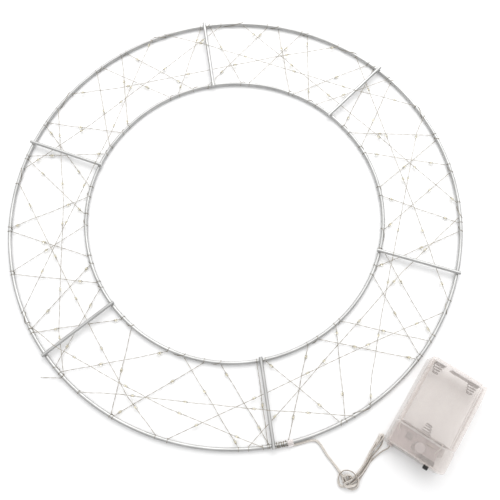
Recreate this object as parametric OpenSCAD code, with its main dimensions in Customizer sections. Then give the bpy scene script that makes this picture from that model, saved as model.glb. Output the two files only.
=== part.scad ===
// Flat double-ring wire wreath frame, laced with a string of small LEDs, with its battery box.
// The frame lies on the plane z = 0, and the origin is the middle of its rings.

/* [Frame] */
// Diameter of the outer ring, to the middle of its wire
outer_ring_d = 396; // [390:1:400]
// Diameter of the inner ring, to the middle of its wire
inner_ring_d = 262; // [260:1:264]
// Diameter of the ring wire
ring_wire_d = 3; // [2.8:0.1:3.2]
// Diameter of the spoke wire
spoke_wire_d = 3; // [2.6:0.1:3.4]
// Distance that each spoke runs past the middle of a ring
spoke_overhang = 2.5; // [1:0.5:5]
// Depth that the welds press a spoke into a ring
weld_depth = 0.2; // [0.1:0.05:0.25]

/* [Light string] */
// Diameter of the string's wire
string_d = 0.5; // [0.4:0.05:0.5]
// Clearance between the string and the ring that it is wound on
winding_gap = 0.03; // [0.02:0.01:0.05]
// Height between one layer of spans and the next
layer_step = 0.57; // [0.55:0.01:0.6]
// Height of the lowest layer of spans above the middle of the rings
lowest_layer = -0.75; // [-0.78:0.01:-0.72]
// Distance between two LEDs along the string
led_pitch = 49; // [40:1:60]
// Diameter of an LED's drop of resin
led_d = 2.5; // [2:0.1:2.5]
// Length of an LED's drop of resin
led_length = 4.2; // [3.4:0.1:4.6]

/* [Lead] */
// Diameter of the lead
lead_d = 1.8; // [1.6:0.1:1.8]
// Radius of the knot that the slack of the lead is tied in
knot_r = 8.5; // [8:0.5:9.5]
// Height of the knot
knot_h = 5.6; // [5:0.1:6]
// Width of the folded hank
hank_w = 6; // [5:0.2:6]
// Height of the folded hank
hank_h = 3.8; // [3.6:0.1:4.2]

/* [Battery box] */
// Width of the box
box_w = 47; // [46:0.5:48]
// Length of the box
box_l = 76; // [75:0.5:78]
// Height of the box with its cover
box_h = 19; // [18.5:0.5:20]
// Thickness of the walls
wall = 1.6; // [1.2:0.1:1.8]
// Thickness of the top cover and of the controller lid
cover_t = 1.7; // [1.4:0.1:1.8]
// Length of the controller end of the box
controller_l = 18.6; // [18:0.1:19]
// Corner radius of the box
corner_r = 2.6; // [2:0.1:3]
// Diameter of a battery lane
lane_d = 15.2; // [15:0.1:15.4]
// Distance between two lanes
lane_step = 14.8; // [14.6:0.1:15]
// Clearance of the parts that slide
slide_gap = 0.3; // [0.2:0.05:0.4]

/* [Hidden] */

$fn = 64;

// Frame
outer_r = outer_ring_d / 2;
inner_r = inner_ring_d / 2;
wire_r = ring_wire_d / 2;
spoke_r = spoke_wire_d / 2;
string_r = string_d / 2;
span_r = string_r - 0.02;                      // the string is pulled a little thinner in its spans,
turn_r = string_r + 0.01;                      // and pressed a little wider in its turns
winding_r = wire_r + string_r + winding_gap;   // middle of a turn of the string round a ring
ring_z = winding_r + turn_r + 0.02;            // the turns just clear the table
spoke_z = ring_z + wire_r + spoke_r - weld_depth;
// Angle of each spoke at the outer ring and at the inner ring
SPOKES = [[102.2, 102.4], [49.9, 50.7], [346.9, 347.2], [282.9, 283.7], [222.1, 222], [162.7, 162.3]];

// Light string. A stop is where the string is wound on a ring: [ring, angle it arrives, angle it leaves].
OUTER = 0;
INNER = 1;
// The two zigzag laps, as the arriving and leaving angle of each stop, outer and inner ring in turn
LAP_1 = [
    [286.5, 286.5], [301.4, 305.8], [322.8, 324.1], [337.6, 341.3], [358, 0.3], [10.1, 13.7],
    [24.1, 25.7], [39.7, 43.5], [51.3, 53.2], [68.5, 70.4], [81.1, 84.2], [104.5, 111],
    [125.7, 127.4], [142.1, 145.8], [155.7, 156.9], [172.1, 176.2], [186.9, 188], [200.7, 204],
    [214.5, 215.7], [228.8, 233.5], [243.9, 244.6], [263.3, 269.2], [282, 282]];
LAP_2 = [
    [281.6, 281.6], [282.2, 285.3], [299.1, 300.5], [313.7, 316.3], [328.2, 329.9], [348.5, 356.4],
    [14.2, 16.4], [29.1, 32.3], [44.9, 46.2], [58, 61.7], [72.5, 74.2], [87.5, 90.9],
    [100.7, 103.3], [117.2, 121.1], [133.7, 135.8], [153.4, 157], [166.5, 167.5], [183.4, 188.2],
    [198.7, 199.6], [211.8, 214.4], [225.9, 227.9], [249.7, 255.9], [274.9, 274.9]];
// The long chords between stops on the outer ring: two layers under the spokes, one over them.
// Each chord bends where it pulls on other wires: [radius, angle], and in the top layer its height too.
CHORDS_LOW = [[277.2, 277.2], [1.6, 5.7], [91.2, 97.4], [170.4, 174.8], [255.5, 255.5]];
BENDS_LOW = [[[154, 342.5]], [[148.5, 37]], [[160.5, 149.5]], [[157.5, 226], [178.5, 245]]];
CHORDS_MID = [[258.5, 258.5], [336.2, 339.5], [57.4, 63.2], [145.3, 151], [229, 229]];
BENDS_MID = [[[162.5, 318.5]], [[156.5, 8]], [[162.5, 81], [169.5, 135]], [[153.5, 177.5], [178.5, 219]]];
CHORDS_TOP = [[280.5, 280.5], [213, 209.9], [117.7, 113.6], [35.1, 31.4], [307.2, 302.6], [234.5, 234.5]];
BENDS_TOP = [
    [[174.5, 256, 3], [174, 238, 3.9], [187.5, 222, 4.6]],
    [[134.2, 162.4, 4.6], [138, 148.5, 3.9]],
    [[173.5, 102.3, 4.6], [164, 50.3, 4.6]],
    [[184, 28.2, 2.1], [142.3, 347.1, 4.6], [151.5, 329, 3.5], [183, 311, 2.3]],
    [[171, 283.2, 4.6], [165, 266, 3.6], [178.5, 244.5, 2.4]]];
layer_1 = lowest_layer;
layer_2 = layer_1 + layer_step;
layer_3 = layer_2 + layer_step;
layer_4 = layer_3 + layer_step;
bend_r = string_r + 0.02;
bend_l = 0.3;
arc_inset = 0.015;   // the stretch between two turns ends this many degrees inside each
turn_length = 10;    // string used up by a stop, beside the arc between its angles
led_clearance = 3.2; // from the middle of an LED to any other wire
led_ring_gap = 4.5;  // from the middle of an LED to the middle of a ring
tail_tip = [-148.5, -151, 0.6];
led_r = led_d / 2;

// Joint between the string and the lead
sleeve_from = 285.8;
sleeve_to = 287.3;
sleeve_r = 2.6;
lead_r = lead_d / 2;
lead_offset = wire_r + lead_r + 0.1;   // from the middle of the ring to the lead beside it
lead_z = lead_r + 0.1;

// Route of the lead from the joint to the knot, and from the hank to the battery box
LEAD_RUN = [
    [62.5, -190.6, 1], [65.3, -189.7, 1], [68.1, -188.7, 1], [71.1, -187.7, 1], [74.5, -186.9, 1],
    [77.9, -187.3, 1], [80.6, -189.4, 1], [83, -192.6, 1], [85.5, -196.2, 1], [88.2, -199.5, 1],
    [91, -202.6, 1], [93.6, -205.6, 1.1], [95.9, -208.5, 1.3], [97.4, -210.5, 1.4]];
LEAD_TAIL = [
    [133.3, -189.2, 2.6], [131, -190.7, 1.8], [128.4, -192.3, 1.2], [125.9, -194.3, 1], [123.4, -196.6, 1],
    [120.9, -199, 1], [118.3, -201.2, 1.2], [115.7, -202.8, 1.5], [113.6, -203.7, 1.8]];
knot_at = [103, -214.5];
hank_from = [110.5, -208];
hank_to = [127.1, -181.9];

// Battery box, in its own frame: +Y towards the end that the cover slides off, and its middle at the origin
box_at = [168.7, -161.8, 0];
box_turn = -29.3;
base_h = box_h - cover_t - 0.1;
half_w = box_w / 2;
half_l = box_l / 2;
divider_y = -half_l + controller_l;
bay_from = divider_y + wall;
bay_to = half_l - wall;
cradle_h = 4.6;
lane_z = wall + lane_d / 2;
ledge_w = 1.2;
ledge_h = 1;
tongue_t = 1.2;
tongue_x = half_w - wall - ledge_w - slide_gap;
lip_z = base_h - ledge_h - slide_gap;
lip_h = 1;
grip_y = 23;
plate_t = 0.4;
plate_z = cradle_h + 0.1;
plate_h = 8.6;
spring_wire = 0.7;
spring_l = 8;
spring_turns = 4.5;
boss_at = [0, -29.6];
boss_r = 4.2;
boss_joint_z = 7;
screw_r = 1.2;
screw_head_r = 2.3;
screw_head_z = 1.2;
screw_head_h = 1.3;
board_z = 7.6;
board_t = 1.2;
board_top = board_z + board_t;
board_from = -20.6;
board_to = 15.8;
post_r = 1.6;
knob_x = 11.1;
knob_travel = 3.4;
knob_w = 3.6;
knob_h = 2.6;
knob_z = 10.6;
knob_out = 2.6;
switch_l = 11.6;
switch_d = 3.6;
switch_h = 5.2;
bush_x = -17.5;
bush_z = 3.4;
bush_r = 1.9;
bush_out = 1.2;
inside_y = -33;
core_r = 0.45;
notch_left = -20.4;
notch_right = 14.4;

// ---------- Points and lengths ----------

function ring_r(ring) = ring == OUTER ? outer_r : inner_r;
function lacing_side(ring) = ring == OUTER ? -1 : 1;
function polar(r, a, z) = [r * cos(a), r * sin(a), z];
function flat(p) = [p.x, p.y];

// Point where a span at this height over the rings' middle meets its turn round the ring
function stop_point(ring, a, layer) =
    polar(ring_r(ring) + lacing_side(ring) * sqrt(winding_r * winding_r - layer * layer), a, ring_z + layer);

function stops(angles, zigzag) =
    [for (i = [0:len(angles) - 1]) [zigzag && i % 2 == 1 ? INNER : OUTER, angles[i][0], angles[i][1]]];

function bend_point(bend, layer) = polar(bend[0], bend[1], ring_z + (len(bend) > 2 ? bend[2] : layer));

// Straight stretches of a run, from stop to stop by way of its bends
function spans(stop_list, layer, bends = []) =
    [for (i = [0:len(stop_list) - 2])
        let (between = i < len(bends) ? [for (b = bends[i]) bend_point(b, layer)] : [],
             points = concat([stop_point(stop_list[i][0], stop_list[i][2], layer)], between,
                 [stop_point(stop_list[i + 1][0], stop_list[i + 1][1], layer)]))
        for (j = [0:len(points) - 2]) [points[j], points[j + 1]]];

function spoke_span(k) =
    [polar(outer_r + spoke_overhang, SPOKES[k][0], spoke_z),
     polar(inner_r - spoke_overhang, SPOKES[k][1], spoke_z)];

lap_1_spans = spans(stops(LAP_1, true), layer_1);
lap_2_spans = spans(stops(LAP_2, true), layer_2);
low_spans = spans(stops(CHORDS_LOW, false), layer_3, BENDS_LOW);
mid_spans = spans(stops(CHORDS_MID, false), layer_4, BENDS_MID);
top_spans = spans(stops(CHORDS_TOP, false), winding_r, BENDS_TOP);
every_span = concat(lap_1_spans, lap_2_spans, low_spans, mid_spans, top_spans,
    [for (k = [0:len(SPOKES) - 1]) spoke_span(k)]);

function span_length(s) = norm(s[1] - s[0]);
function along(s, d) = s[0] + (s[1] - s[0]) * d / span_length(s);

// Distance in plan from point p to a span
function plan_gap(p, s) =
    let (a = flat(s[0]), d = flat(s[1]) - a, t = max(0, min(1, (flat(p) - a) * d / (d * d))))
    norm(flat(p) - a - t * d);

function is_clear(s, d) =
    let (p = along(s, d), r = norm(flat(p)))
    d > led_length && d < span_length(s) - led_length
    && r < outer_r - led_ring_gap && r > inner_r + led_ring_gap
    && min([for (o = every_span) o == s ? led_clearance : plan_gap(p, o)]) >= led_clearance;

// Nearest place to d on span s where an LED touches no other wire; steps to and fro of growing size
function clear_place(s, d, step = 0) =
    let (e = d + (step % 2 == 0 ? 1 : -1) * ceil(step / 2) * 1.5)
    step > 16 ? undef
    : is_clear(s, e) ? e
    : clear_place(s, d, step + 1);

// Length of string used before span i
function used(list, i) = i == 0 ? 0
    : used(list, i - 1) + span_length(list[i - 1]) + (list[i][0] == list[i - 1][1] ? 0 : turn_length);

// Places of the LEDs on a list of spans, as [span, distance along it]
function led_places(list, first) =
    [for (i = [0:len(list) - 1])
        let (start = used(list, i), k0 = ceil((start - first) / led_pitch),
             k1 = floor((start + span_length(list[i]) - first) / led_pitch))
        if (k1 >= k0)
        for (k = [k0:k1])
            let (d = clear_place(list[i], first + k * led_pitch - start))
            if (d != undef) [list[i], d]];

// ---------- General shapes ----------

// Turns +Z to point along v
module aim(v) {
    rotate([0, acos(v.z / norm(v)), atan2(v.y, v.x)]) children();
}

module strand(p, q, r) {
    translate(p) aim(q - p) cylinder(r = r, h = norm(q - p), $fn = 24);
}

// A tube swept along a list of points, with flat ends
module tube(path, r, sides, up = [0, 0, 1]) {
    last = len(path) - 1;
    tangents = [for (i = [0:last]) path[min(i + 1, last)] - path[max(i - 1, 0)]];
    points = [for (i = [0:last])
        let (t = tangents[i] / norm(tangents[i]), c = cross(t, up), n = c / norm(c), b = cross(n, t))
        for (k = [0:sides - 1]) path[i] + r * (cos(360 * k / sides) * n + sin(360 * k / sides) * b)];
    walls = [for (i = [0:last - 1], k = [0:sides - 1])
        let (a = i * sides + k, b = i * sides + (k + 1) % sides)
        each [[a, b, b + sides], [a, b + sides, a + sides]]];
    first_end = [for (k = [0:sides - 1]) sides - 1 - k];
    last_end = [for (k = [0:sides - 1]) last * sides + k];
    polyhedron(points, concat(walls, [first_end, last_end]), convexity = 4);
}

// A plate with round upright corners
module rounded_plate(w, l, r, h) {
    linear_extrude(h) {
        square([w - 2 * r, l], center = true);
        square([w, l - 2 * r], center = true);
        for (x = [-1, 1], y = [-1, 1]) translate([x * (w / 2 - r), y * (l / 2 - r)]) circle(r);
    }
}

// A block given by its lowest and highest corner
module block(low, high) {
    translate(low) cube(high - low);
}

// ---------- Frame ----------

module ring(r) {
    translate([0, 0, ring_z]) rotate_extrude($fn = 180) translate([r, 0]) circle(wire_r, $fn = 32);
}

module outer_ring() {
    color("silver") ring(outer_r);
}

module inner_ring() {
    color("silver") ring(inner_r);
}

// A straight spoke across both rings, pressed into them at its welds
module spoke(k) {
    s = spoke_span(k);
    color("silver") difference() {
        strand(s[0], s[1], spoke_r);
        ring(outer_r);
        ring(inner_r);
    }
}

// ---------- Light string ----------

// One turn of the string round a ring's wire
module turn(ring, a) {
    translate(polar(ring_r(ring), a, ring_z)) rotate([90, 0, a]) rotate(-90)
        rotate_extrude($fn = 48) translate([winding_r, 0]) rotate(180) circle(turn_r, $fn = 24);
}

// The stretch of a stop between its two turns, along the side of the ring that faces away from the lacing
module stop_arc(ring, a1, a2) {
    swing = (a2 - a1 + 540) % 360 - 180;
    translate([0, 0, ring_z]) rotate(min(a1, a1 + swing) + arc_inset)
        rotate_extrude(angle = abs(swing) - 2 * arc_inset, $fn = 360)
            translate([ring_r(ring) - lacing_side(ring) * winding_r, 0]) circle(span_r, $fn = 24);
}

module winding(stop) {
    turn(stop[0], stop[1]);
    if (stop[1] != stop[2]) {
        turn(stop[0], stop[2]);
        stop_arc(stop[0], stop[1], stop[2]);
    }
}

// The bend between a stretch and the next one
module bend(s, next) {
    d = (s[1] - s[0]) / span_length(s) + (next[1] - next[0]) / span_length(next);
    u = d / norm(d) * bend_l / 2;
    strand(s[1] - u, s[1] + u, bend_r);
}

module laced(stop_list, span_list, first_winding = 0) {
    last = len(span_list) - 1;
    color("gainsboro") union() {
        for (i = [0:last]) union() {
            strand(span_list[i][0], span_list[i][1], span_r);
            if (i < last && span_list[i][1] == span_list[i + 1][0]) bend(span_list[i], span_list[i + 1]);
        }
        for (i = [first_winding:len(stop_list) - 1]) winding(stop_list[i]);
    }
}

// The first span comes out of the joint's sleeve
module string_lap_1() {
    laced(stops(LAP_1, true), lap_1_spans, 1);
}

module string_lap_2() {
    laced(stops(LAP_2, true), lap_2_spans);
}

module string_chords_low() {
    laced(stops(CHORDS_LOW, false), low_spans);
}

// The end of this run sticks out past the outer ring
module string_chords_mid() {
    color("gainsboro") union() {
        laced(stops(CHORDS_MID, false), mid_spans);
        strand(polar(outer_r + winding_r, 229, ring_z), tail_tip, span_r);
    }
}

module string_chords_top() {
    laced(stops(CHORDS_TOP, false), top_spans);
}

// A drop of resin round the string
module led() {
    color("khaki") rotate_extrude($fn = 32) difference() {
        union() {
            for (y = [-1, 1]) translate([0, y * (led_length / 2 - led_r)]) circle(led_r, $fn = 32);
            square([led_d, led_length - led_d], center = true);
        }
        translate([-led_length + span_r, -led_length]) square([led_length, 2 * led_length]);
    }
}

module leds(list, first) {
    for (place = led_places(list, first))
        translate(along(place[0], place[1])) aim(place[0][1] - place[0][0]) led();
}

module leds_lap_1() { leds(lap_1_spans, 18); }
module leds_lap_2() { leds(lap_2_spans, 30); }
module leds_chords_low() { leds(low_spans, 34); }
module leds_chords_mid() { leds(mid_spans, 26); }
module leds_chords_top() { leds(top_spans, 22); }

// Turns of spare string side by side on the outer ring, between the last spoke and the joint
module start_winding() {
    color("gainsboro") for (a = [284.2:0.2:285.4]) turn(OUTER, a);
}

// ---------- Joint and lead ----------

// Clear shrink sleeve over the splice of string and lead, round the ring's wire
module joint_sleeve() {
    color("whitesmoke") difference() {
        rotate(sleeve_from) rotate_extrude(angle = sleeve_to - sleeve_from, $fn = 360) difference() {
            union() {
                translate([outer_r + 0.2, sleeve_r + 0.02]) circle(sleeve_r, $fn = 32);
                translate([outer_r + lead_offset, lead_z]) circle(lead_z - 0.01, $fn = 32);
            }
            translate([outer_r, ring_z]) circle(wire_r, $fn = 32);
        }
        strand(lap_1_spans[0][0], lap_1_spans[0][1], span_r);
    }
}

module lead_run() {
    start = polar(outer_r + lead_offset, sleeve_to, lead_z);
    color("gainsboro") tube(concat([start], LEAD_RUN), lead_r, 8);
}

// Outer shape of the knot that takes up the slack
module lead_knot() {
    rim = knot_h / 2;
    color("gainsboro") translate([knot_at.x, knot_at.y, rim]) rotate_extrude() {
        translate([knot_r - rim, 0]) circle(rim, $fn = 32);
        translate([0, -rim]) square([knot_r - rim, knot_h]);
    }
}

// Outer shape of the folded strands between the knot and the battery box
module lead_hank() {
    d = hank_to - hank_from;
    color("gainsboro") translate([hank_from.x, hank_from.y, 0.1]) rotate(atan2(d.y, d.x))
        linear_extrude(hank_h) {
            circle(hank_w / 2);
            translate([norm(d), 0]) circle(hank_w / 2);
            translate([0, -hank_w / 2]) square([norm(d), hank_w]);
        }
}

function box_point(x, y, z) =
    box_at + [x * cos(box_turn) - y * sin(box_turn), x * sin(box_turn) + y * cos(box_turn), z];

module lead_tail() {
    straight = [for (y = [inside_y, -half_l, -half_l - 2]) box_point(bush_x, y, bush_z)];
    color("gainsboro") tube(concat(straight, LEAD_TAIL), lead_r, 8);
}

// ---------- Battery box ----------

module in_box() {
    translate(box_at) rotate(box_turn) children();
}

module cell_lanes() {
    for (i = [-1:1]) translate([i * lane_step, bay_from, lane_z]) rotate([-90, 0, 0])
        cylinder(d = lane_d, h = bay_to - bay_from);
}

// The same block on both sides of the box's middle
module side_blocks(low, high) {
    block(low, high);
    mirror([1, 0, 0]) block(low, high);
}

module knob_slot(from_y, to_y) {
    g = slide_gap;
    block([knob_x - knob_w / 2 - knob_travel - g, from_y, knob_z - g],
        [knob_x + knob_w / 2 + g, to_y, knob_z + knob_h + g]);
}

module box_base() {
    inner_x = half_w - wall;
    color("linen") in_box() difference() {
        union() {
            difference() {
                rounded_plate(box_w, box_l, corner_r, base_h);
                block([-inner_x, bay_from, cradle_h], [inner_x, bay_to, base_h + 1]);
                cell_lanes();
                block([-inner_x, -half_l + wall, wall], [inner_x, divider_y, base_h + 1]);
            }
            // Ledges for the cover's lips, then the boss, posts and rib of the controller
            side_blocks([inner_x - ledge_w, bay_from, base_h - ledge_h], [inner_x, bay_to, base_h]);
            translate([boss_at.x, boss_at.y, wall]) cylinder(r = boss_r, h = boss_joint_z - wall);
            for (x = [board_from + 3, board_to - 3]) translate([x, -25, wall])
                cylinder(r = post_r, h = board_z - wall);
            block([board_to + 0.6, -27, wall], [board_to + 1.8, divider_y, 14]);
        }
        // Ways out of the end wall for the cover's tongues
        side_blocks([tongue_x - tongue_t - slide_gap, bay_to - 1, lip_z - lip_h - slide_gap],
            [inner_x, half_l + 1, base_h + 1]);
        // Hole and counterbore for the screw, from below
        translate([boss_at.x, boss_at.y, -1]) {
            cylinder(r = screw_r + 0.2, h = base_h);
            cylinder(r = screw_head_r + 0.3, h = screw_head_z + screw_head_h + 1);
        }
        // Notches for the battery wires, and the ways out for the knob and the lead
        for (x = [notch_left, notch_right])
            block([x - 0.8, divider_y - 1, 12.9], [x + 0.8, bay_from + 1, 15]);
        knob_slot(-half_l - 1, -half_l + wall + 1);
        translate([bush_x, -half_l - 1, bush_z]) rotate([-90, 0, 0]) cylinder(r = bush_r, h = wall + 2);
    }
}

// Rows of small raised diamonds for the thumb
module grip_diamonds() {
    for (row = [-3:3], col = [-3:3]) if (abs(row) + abs(col) < 5)
        translate([col * 1.3 + (row % 2 == 0 ? 0 : 0.65), grip_y + row * 1.1, box_h]) rotate(45)
            translate([-0.35, -0.35, -0.1]) cube([0.7, 0.7, 0.4]);
}

// Cover that slides off along +Y, held down by two tongues with lips under the ledges of the base
module box_cover() {
    color("linen") in_box() {
        lid_from = divider_y + slide_gap;
        translate([0, (lid_from + half_l) / 2, box_h - cover_t])
            rounded_plate(box_w, half_l - lid_from, corner_r, cover_t);
        side_blocks([tongue_x - tongue_t, bay_from + 1, lip_z - lip_h], [tongue_x, bay_to - 1, box_h - 1]);
        side_blocks([tongue_x - 0.01, bay_from + 1, lip_z - lip_h], [tongue_x + ledge_w, bay_to - 1, lip_z]);
        grip_diamonds();
    }
}

// Fixed lid with a hollow boss that the screw goes up into
module controller_lid() {
    l = controller_l - 0.1;
    color("linen") in_box() difference() {
        union() {
            translate([0, -half_l + l / 2, base_h]) rounded_plate(box_w, l, corner_r, box_h - base_h);
            translate([boss_at.x, boss_at.y, boss_joint_z])
                cylinder(r = boss_r, h = base_h - boss_joint_z + 0.5);
        }
        translate([boss_at.x, boss_at.y, boss_joint_z - 1]) cylinder(r = screw_r, h = 10);
    }
}

// Small pan-head screw with a cross recess, let into the underside
module lid_screw() {
    color("gray") in_box() translate([boss_at.x, boss_at.y, screw_head_z]) difference() {
        union() {
            cylinder(r = screw_head_r, h = screw_head_h);
            cylinder(r = screw_r, h = 14);
        }
        for (a = [0, 90]) rotate(a) translate([-1.2, -0.25, -0.1]) cube([2.4, 0.5, 0.7]);
    }
}

// ---------- Contacts ----------

// Upright plate against an end of the bay; end is 1 at the far end and -1 at the controller end
module contact_plate(x_from, x_to, end, dimples = []) {
    face = end > 0 ? bay_to - plate_t : bay_from;
    color("silver") in_box() {
        block([x_from, face, plate_z], [x_to, face + plate_t, plate_z + plate_h]);
        for (x = dimples) translate([x, face + plate_t / 2, lane_z]) rotate([end * 90, 0, 0])
            cylinder(r = 2.6, h = 1);
    }
}

module contact_negative() {
    contact_plate(-lane_step - 5, -lane_step + 5, 1);
}

module contact_link_top() {
    contact_plate(-5, lane_step + 4.6, 1, [0]);
}

module contact_link_bottom() {
    contact_plate(-lane_step - 4.6, 5, -1, [-lane_step]);
}

module contact_positive() {
    contact_plate(lane_step - 5, lane_step + 4.6, -1, [lane_step]);
}

// Conical battery spring that stands on a plate
module battery_spring(lane, end) {
    base_r = 4.2;
    tip_r = 2.6;
    per_turn = 14;
    n = round(spring_turns * per_turn);
    rise = spring_l - spring_wire;
    foot = end > 0 ? bay_to - plate_t - spring_wire / 2 : bay_from + plate_t + spring_wire / 2;
    path = [for (i = [0:n])
        let (f = i / n, r = base_r + (tip_r - base_r) * f, a = 360 * i / per_turn)
        [lane * lane_step + r * cos(a), foot - end * rise * max(0, f - 0.12) / 0.88, lane_z + r * sin(a)]];
    color("silver") in_box() tube(path, spring_wire / 2, 8, [0, 1, 0]);
}

module spring_left() {
    battery_spring(-1, 1);
}

module spring_middle() {
    battery_spring(0, -1);
}

module spring_right() {
    battery_spring(1, 1);
}

// ---------- Controller ----------

module circuit_board() {
    color("tan") in_box() difference() {
        block([board_from, -half_l + wall + 0.4, board_z], [board_to, divider_y - 0.6, board_top]);
        translate([boss_at.x, boss_at.y, board_z - 1]) cylinder(r = boss_r + 0.3, h = board_t + 2);
    }
}

// Chip with four legs on each side
module driver_chip() {
    color("dimgray") in_box() translate([-9, -25, board_top]) {
        block([-2.5, -2, 0], [2.5, 2, 1.5]);
        for (i = [0:3], s = [-1, 1]) translate([-2 + i * 1.27, s * 2.6 - 0.6, 0]) cube([0.4, 1.2, 0.3]);
    }
}

module board_resistor() {
    color("wheat") in_box() translate([5, -23, board_top + 1.1]) rotate([0, 90, 0]) {
        cylinder(r = 1, h = 5);
        translate([0, 0, -1.6]) cylinder(r = 0.3, h = 8.2);
    }
}

module switch_housing() {
    mid = knob_x - knob_travel / 2;
    front = -half_l + wall + 0.2;
    color("silver") in_box() difference() {
        block([mid - switch_l / 2, front, board_top],
            [mid + switch_l / 2, front + switch_d, board_top + switch_h]);
        knob_slot(front - 1, front + 2.8);
    }
}

// Slide knob, in the place it has when the lights are off
module switch_knob() {
    color("black") in_box()
        block([knob_x - knob_w / 2, -half_l - knob_out, knob_z],
            [knob_x + knob_w / 2, -half_l + wall + 2.6, knob_z + knob_h]);
}

// Strain relief in the end wall
module cable_bush() {
    color("whitesmoke") in_box() translate([bush_x, -half_l, bush_z]) rotate([-90, 0, 0]) difference() {
        union() {
            translate([0, 0, -bush_out]) cylinder(r = bush_r + 0.5, h = bush_out);
            translate([0, 0, -bush_out]) cylinder(r = bush_r - 0.02, h = bush_out + wall + 0.8);
        }
        translate([0, 0, -bush_out - 1]) cylinder(r = lead_r + 0.05, h = wall + 6);
    }
}

// Wires from the first and the last contact to the board, through notches in the divider
module battery_wires() {
    top = plate_z + plate_h + core_r + 0.01;
    on_board = board_top + core_r;
    color("linen") in_box() {
        tube([[-19, bay_to - 0.5, top], [-20.2, 34, top + 0.2], [notch_left, 30, top + 0.2],
            [notch_left, divider_y, top + 0.2], [-20, -21.6, 12.4], [-19, -23.6, 10.2],
            [-17.6, -25, on_board]], core_r, 8);
        tube([[notch_right, bay_from + 0.3, top], [notch_right, divider_y - 0.6, top], [14.2, -22.4, 12.2],
            [13.6, -24.4, 10.4], [13, -26.4, on_board]], core_r, 8);
    }
}

// The lead's two cores, from its end up to the underside of the board
module lead_cores() {
    color("gainsboro") in_box() for (s = [-0.45, 0.45])
        tube([[bush_x + s, inside_y + 0.02, bush_z], [bush_x + s, inside_y + 0.6, bush_z],
            [bush_x + s, -31.4, 3.9], [bush_x + s, -30.2, 5.4], [bush_x + s, -29.9, board_z - 0.01]],
            0.4, 8, [1, 0, 0]);
}

outer_ring();
inner_ring();
spoke(0);  // spoke_1
spoke(1);  // spoke_2
spoke(2);  // spoke_3
spoke(3);  // spoke_4
spoke(4);  // spoke_5
spoke(5);  // spoke_6
string_lap_1();
string_lap_2();
string_chords_low();
string_chords_mid();
string_chords_top();
leds_lap_1();
leds_lap_2();
leds_chords_low();
leds_chords_mid();
leds_chords_top();
start_winding();
joint_sleeve();
lead_run();
lead_knot();
lead_hank();
lead_tail();
box_base();
box_cover();
controller_lid();
lid_screw();
contact_negative();
contact_link_top();
contact_link_bottom();
contact_positive();
spring_left();
spring_middle();
spring_right();
circuit_board();
driver_chip();
board_resistor();
switch_housing();
switch_knob();
cable_bush();
battery_wires();
lead_cores();
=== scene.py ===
"""Looks for the lit wreath frame: ring wires, light string, lead, battery box, floor, light, camera."""

import math
import random

import bmesh
import bpy
import numpy as np
from mathutils import Matrix, Vector


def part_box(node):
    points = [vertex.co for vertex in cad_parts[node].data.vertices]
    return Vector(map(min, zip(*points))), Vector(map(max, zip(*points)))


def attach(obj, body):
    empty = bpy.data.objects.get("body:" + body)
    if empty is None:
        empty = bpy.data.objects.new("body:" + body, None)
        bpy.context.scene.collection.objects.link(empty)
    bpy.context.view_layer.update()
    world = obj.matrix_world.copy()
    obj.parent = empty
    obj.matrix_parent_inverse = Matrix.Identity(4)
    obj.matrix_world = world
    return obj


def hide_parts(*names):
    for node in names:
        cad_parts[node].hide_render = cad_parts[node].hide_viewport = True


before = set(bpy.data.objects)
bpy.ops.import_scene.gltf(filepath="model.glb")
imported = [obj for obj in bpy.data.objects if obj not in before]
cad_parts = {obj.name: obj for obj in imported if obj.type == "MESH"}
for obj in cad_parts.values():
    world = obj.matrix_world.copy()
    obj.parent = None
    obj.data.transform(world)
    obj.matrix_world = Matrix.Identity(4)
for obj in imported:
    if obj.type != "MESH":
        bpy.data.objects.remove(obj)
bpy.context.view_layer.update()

MM = 0.001
BODY = "frame"
random.seed(7)


# ---------- Sizes read from the frame ----------

def box_centre(node):
    low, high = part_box(node)
    return [(low[i] + high[i]) / 2 for i in range(3)]


def box_size(node):
    low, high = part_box(node)
    return [high[i] - low[i] for i in range(3)]


WIRE_R = box_size("outer_ring")[2] / 2
RING_Z = box_centre("outer_ring")[2]
OUTER_R = box_size("outer_ring")[0] / 2 - WIRE_R
INNER_R = box_size("inner_ring")[0] / 2 - WIRE_R
SPOKE_Z = box_centre("spoke_1")[2]
KNOB_BODY = "knob"
COVER_BODY = "cover"

# The welds' squeezed metal: its reach and height at a crossing, and its height and width at a seam
WELD_REACH = 1.75 * MM
WELD_RISE = 0.62 * MM
SEAM_RISE = 0.18 * MM
SEAM_WIDE = 0.9 * MM

# The light string: its wire, its layers' heights in millimetres above the rings' middle, and its twist,
# the step from one turn to the next, and the steps and the waves of its stretches
STRAND_R = 0.125 * MM
STRING_R = 2 * STRAND_R
WINDING_R = WIRE_R + STRING_R + 0.03 * MM
LAYERS = {
    "lap_1": -0.75, "lap_2": -0.18, "chords_low": 0.39, "chords_mid": 0.96, "chords_top": WINDING_R / MM}
STRAND_PITCH = 13 * MM
TURN_STEP = 0.55 * MM
SPAN_STEP = 1.6 * MM
SPAN_WAVE = 0.16 * MM

# Each spoke's angle at the outer and at the inner ring, in degrees
SPOKES = [(102.2, 102.4), (49.9, 50.7), (346.9, 347.2), (282.9, 283.7), (222.1, 222), (162.7, 162.3)]
SPOKE_OVERHANG = 2.5 * MM

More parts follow.
